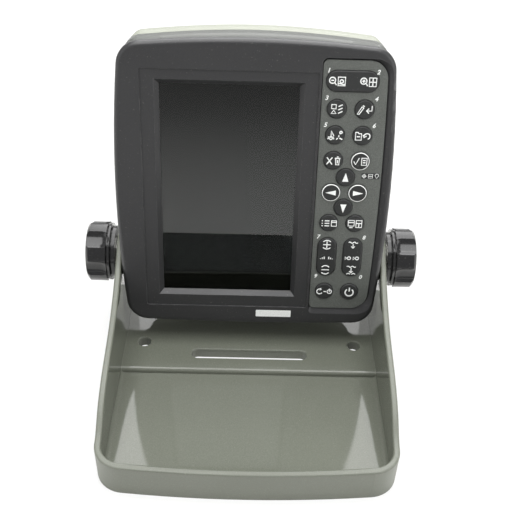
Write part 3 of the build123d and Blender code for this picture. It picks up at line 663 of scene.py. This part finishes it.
def figurePiece(digit, x, y):
    text = bpy.data.curves.new("figure", "FONT")
    text.body = digit
    text.size = figures["size"]
    text.shear = figures["slant"]
    text.align_x, text.align_y = "CENTER", "CENTER"
    text.extrude = 0.04
    text.offset = 0.08
    text.resolution_u = 4
    holder = bpy.data.objects.new("figure", text)
    mesh = bpy.data.meshes.new_from_object(holder)
    bpy.data.objects.remove(holder)
    bpy.data.curves.remove(text)
    mesh.name = "figure_" + digit
    mesh.transform(
        headMatrix @ Matrix.Scale(mm, 4) @ Matrix.Translation((x, y, faceHeights["panel"] + 0.03))
    )
    linkPiece("figure_" + digit, mesh, whitePrint, "head")


for digit, (x, y) in figures["places"].items():
    figurePiece(digit, x, y)


# ---- thin plates on the face: a bare sticker under the screen, a dark tag beside the up key ----
facePlates = {
    "bare_sticker": {
        "place": (12.35, -22.35), "size": (18.7, 3.9), "thickness": 0.15, "corner": 0.35, "on": "bezel",
        "material": whitePrint,
    },
    "cursor_tag": {
        "place": (57.8, 57.1), "size": (9.0, 3.0), "thickness": 0.06, "corner": 0.3, "on": "panel",
        "material": darkPrint,
    },
}


def platePiece(name, plate):
    made = bmesh.new()
    bmesh.ops.create_grid(made, x_segments=1, y_segments=1, size=0.5)
    bmesh.ops.scale(made, vec=(*plate["size"], 1), verts=made.verts[:])
    bmesh.ops.bevel(
        made, geom=made.verts[:], offset=plate["corner"], offset_type="OFFSET", segments=4, profile=0.5,
        affect="VERTICES", material=-1,
    )
    raised = bmesh.ops.extrude_face_region(made, geom=made.faces[:])
    top = [v for v in raised["geom"] if isinstance(v, bmesh.types.BMVert)]
    bmesh.ops.translate(made, vec=(0, 0, plate["thickness"]), verts=top)
    bmesh.ops.recalc_face_normals(made, faces=made.faces[:])
    place = Matrix.Translation((*plate["place"], faceHeights[plate["on"]]))
    bmesh.ops.transform(made, matrix=headMatrix @ Matrix.Scale(mm, 4) @ place, verts=made.verts[:])
    mesh = bpy.data.meshes.new(name)
    made.to_mesh(mesh)
    made.free()
    linkPiece(name, mesh, plate["material"], "head")


for name, plate in facePlates.items():
    platePiece(name, plate)
tagSign = (
    [arc(-2.9, 0, 0.75, 0, 360, 12), [(-2.9, -1.1), (-2.9, 1.1)], [(-4.0, 0), (-1.8, 0)]]
    + [box(-0.9, -0.9, 1.0, 0.9), [(-0.9, 0), (1.0, 0)]]
    + [[(3.0, -1.1), (2.2, 0.2), *arc(3.0, 0.35, 0.8, 190, -10, 8), (3.0, -1.1)]]
)
signPiece("cursor_tag_sign", (57.8, 57.1, faceHeights["panel"] + 0.06), "head", tagSign, [], 0.28)
print("signs printed")

# ---- outer shell of the rear case: dark band, seam, pale cover; under a line rising to the back the dark moulding shows as painted shade ----
headForm = {
    "halfWidth": 69.0, "bottom": -29.0, "top": 122.6, "middle": 46.8, "sideBow": 4.2, "topBow": 3.5,
    "bottomBow": 1.2,
}
# depths over the pivot axis, each with how far the ring lies inside the head's outline
shellRings = {
    "caseBandAndShade": [(21.25, 2.4), (21.25, 0.3), (2.4, 0.3), (2.1, 0.6), (2.1, 1.3)],
    "rearCase": [
        (1.5, 1.3), (1.5, 0.7), (1.2, 0.4), (-14.0, 0.9), (-16.8, 1.5), (-18.8, 2.8), (-20.0, 5.2),
        (-20.3, 8.5),
        (-20.3, 17.0), (-13.9, 17.5),
    ],
}
# the cover's underside slopes up to its back; below this line the dark moulding shows, painted shade on the
# lower sides and underside
coverShadeLine = {"from": (1.2, -28.8), "to": (-20.0, 9.0)}
shellCorners = {"top": 8.5, "bottom": 14.0, "least": 1.0, "steps": 10, "runSteps": 24}


def shellOutline(inset):
    # points round the head, corners as arcs and sides bowed
    form = headForm
    points = []
    for cornerTurn, (sideX, sideY) in enumerate(((1, 1), (-1, 1), (-1, -1), (1, -1))):
        radius = shellCorners["top"] if sideY > 0 else shellCorners["bottom"]
        radius = max(radius - inset, shellCorners["least"])
        edgeY = (
            form["top"] - form["topBow"] - inset
            if sideY > 0
            else form["bottom"] + form["bottomBow"] + inset
        )
        middleX = sideX * (form["halfWidth"] - form["sideBow"] - inset - radius)
        middleY = edgeY - sideY * radius
        points += arc(middleX, middleY, radius, 90 * cornerTurn, 90 * cornerTurn + 90,
                      shellCorners["steps"])
        # a bowed run to the next corner
        start = points[-1]
        nextX, nextY = ((-1, 1), (-1, -1), (1, -1), (1, 1))[cornerTurn]
        nextRadius = shellCorners["top"] if nextY > 0 else shellCorners["bottom"]
        nextRadius = max(nextRadius - inset, shellCorners["least"])
        nextEdge = (
            form["top"] - form["topBow"] - inset
            if nextY > 0
            else form["bottom"] + form["bottomBow"] + inset
        )
        if cornerTurn in (0, 2):
            end = (nextX * (form["halfWidth"] - form["sideBow"] - inset - nextRadius), nextEdge)
            bow = (0, form["topBow"] if nextY > 0 else -form["bottomBow"])
        else:
            end = (nextX * (form["halfWidth"] - form["sideBow"] - inset), nextEdge - nextY * nextRadius)
            bow = (nextX * form["sideBow"], 0)
        for step in range(1, shellCorners["runSteps"]):
            share = step / shellCorners["runSteps"]
            lift = sin(pi * share) * 0.5 + 2 * share * (1 - share)
            points.append(tuple(a + (b - a) * share + rise * lift for a, b, rise in zip(start, end, bow)))
    return points


def shellPiece():
    made = bmesh.new()
    rings, finishes = [], []
    for finish, ringList in enumerate(shellRings.values()):
        for depth, inset in ringList:
            share = (coverShadeLine["from"][0] - depth) / (coverShadeLine["from"][0] - coverShadeLine["to"][0])
            shadeLineY = (
                coverShadeLine["from"][1]
                + max(share, 0.0) * (coverShadeLine["to"][1] - coverShadeLine["from"][1])
                + inset
            )
            shadeLineY = -100 if share <= 0 else shadeLineY
            ring = [made.verts.new((x, max(y, shadeLineY), depth)) for x, y in shellOutline(inset)]
            rings.append((finish, ring))
    for (finish, ring), (nextFinish, nextRing) in zip(rings, rings[1:]):
        for index in range(len(ring)):
            after = (index + 1) % len(ring)
            face = made.faces.new((ring[index], ring[after], nextRing[after], nextRing[index]))
            face.smooth = True
            finishes.append(nextFinish)
    bmesh.ops.recalc_face_normals(made, faces=made.faces[:])
    bmesh.ops.transform(made, matrix=headMatrix @ Matrix.Scale(mm, 4), verts=made.verts[:])
    mesh = bpy.data.meshes.new("rear_shell")
    made.to_mesh(mesh)
    made.free()
    linkPiece("rear_shell", mesh, plastics["caseBandAndShade"], "head")
    mesh.materials.append(plastics["rearCase"])
    for polygon, finish in zip(mesh.polygons, finishes):
        polygon.material_index = finish


shellPiece()
print("rear shell built")

# ---- floor, world and lights ----
studio = {
    "floorSize": 6.0,
    "floorColor": srgb(236, 236, 234),
    "ambient": 0.55,
    "lamps": {
        # place, aim, size, watts
        "overhead": ((0.0, 0.0, 1.0), (0, 0, 0.05), 1.0, 14.0),
        "leftFill": ((-0.95, -0.45, 0.45), (0, 0, 0.08), 0.7, 2.0),
        "rightFill": ((0.95, -0.45, 0.5), (0, 0, 0.08), 0.7, 4.0),
        "behind": ((0.1, 0.8, 0.8), (0, 0, 0.1), 0.9, 10.0),
    },
    # dark card lying before the part, seen in the window only
    "card": {"front": -0.275, "back": -0.118, "half": 0.3},
}


def makeStage():
    made = bmesh.new()
    bmesh.ops.create_grid(made, x_segments=1, y_segments=1, size=studio["floorSize"] / 2)
    mesh = bpy.data.meshes.new("floor")
    made.to_mesh(mesh)
    made.free()
    floor = bpy.data.objects.new("floor", mesh)
    bpy.context.scene.collection.objects.link(floor)
    floor.location = (0, 0, -0.05 * mm)
    material = bpy.data.materials.new("studioFloor")
    material.use_nodes = True
    tree = material.node_tree
    shader = tree.nodes["Principled BSDF"]
    shader.inputs["Base Color"].default_value = studio["floorColor"]
    shader.inputs["Roughness"].default_value = 0.9
    glow = addNode(tree, "ShaderNodeEmission", Color=(1, 1, 1, 1), Strength=1.0)
    rays = addNode(tree, "ShaderNodeLightPath")
    share = calc(tree, "MULTIPLY", rays.outputs["Is Camera Ray"], 0.75)
    mixed = addNode(tree, "ShaderNodeMixShader", i0=share, i1=shader.outputs[0], i2=glow.outputs[0])
    tree.links.new(mixed.outputs[0], tree.nodes["Material Output"].inputs["Surface"])
    mesh.materials.append(material)


def makeCard():
    card = studio["card"]
    made = bmesh.new()
    corners = [(-1, "front"), (1, "front"), (1, "back"), (-1, "back")]
    made.faces.new([made.verts.new((side * card["half"], card[end], 0.5 * mm)) for side, end in corners])
    mesh = bpy.data.meshes.new("card")
    made.to_mesh(mesh)
    made.free()
    piece = bpy.data.objects.new("card", mesh)
    bpy.context.scene.collection.objects.link(piece)
    material = bpy.data.materials.new("cardBlack")
    material.use_nodes = True
    shader = material.node_tree.nodes["Principled BSDF"]
    shader.inputs["Base Color"].default_value = srgb(8, 10, 10)
    shader.inputs["Roughness"].default_value = 0.9
    mesh.materials.append(material)
    piece.visible_camera = False
    piece.visible_diffuse = False
    piece.visible_transmission = False
    piece.visible_shadow = False


def makeLights():
    world = bpy.data.worlds.new("studio")
    bpy.context.scene.world = world
    world.use_nodes = True
    tree = world.node_tree
    background = tree.nodes["Background"]
    rays = addNode(tree, "ShaderNodeLightPath")
    seen = calc(tree, "MAXIMUM", rays.outputs["Is Camera Ray"], rays.outputs["Is Transmission Ray"])
    strength = calc(tree, "MULTIPLY_ADD", seen, 1.0 - studio["ambient"], studio["ambient"])
    tree.links.new(strength, background.inputs["Strength"])
    background.inputs["Color"].default_value = (1, 1, 1, 1)
    for name, (place, aim, size, watts) in studio["lamps"].items():
        lampData = bpy.data.lights.new(name, "AREA")
        lampData.shape = "SQUARE"
        lampData.size = size
        lampData.energy = watts
        lamp = bpy.data.objects.new(name, lampData)
        bpy.context.scene.collection.objects.link(lamp)
        turn = (Vector(aim) - Vector(place)).to_track_quat("-Z", "Y")
        lamp.matrix_world = Matrix.Translation(place) @ turn.to_matrix().to_4x4()


makeStage()
makeCard()
makeLights()
bpy.context.scene.view_settings.view_transform = "Standard"
print("studio set")
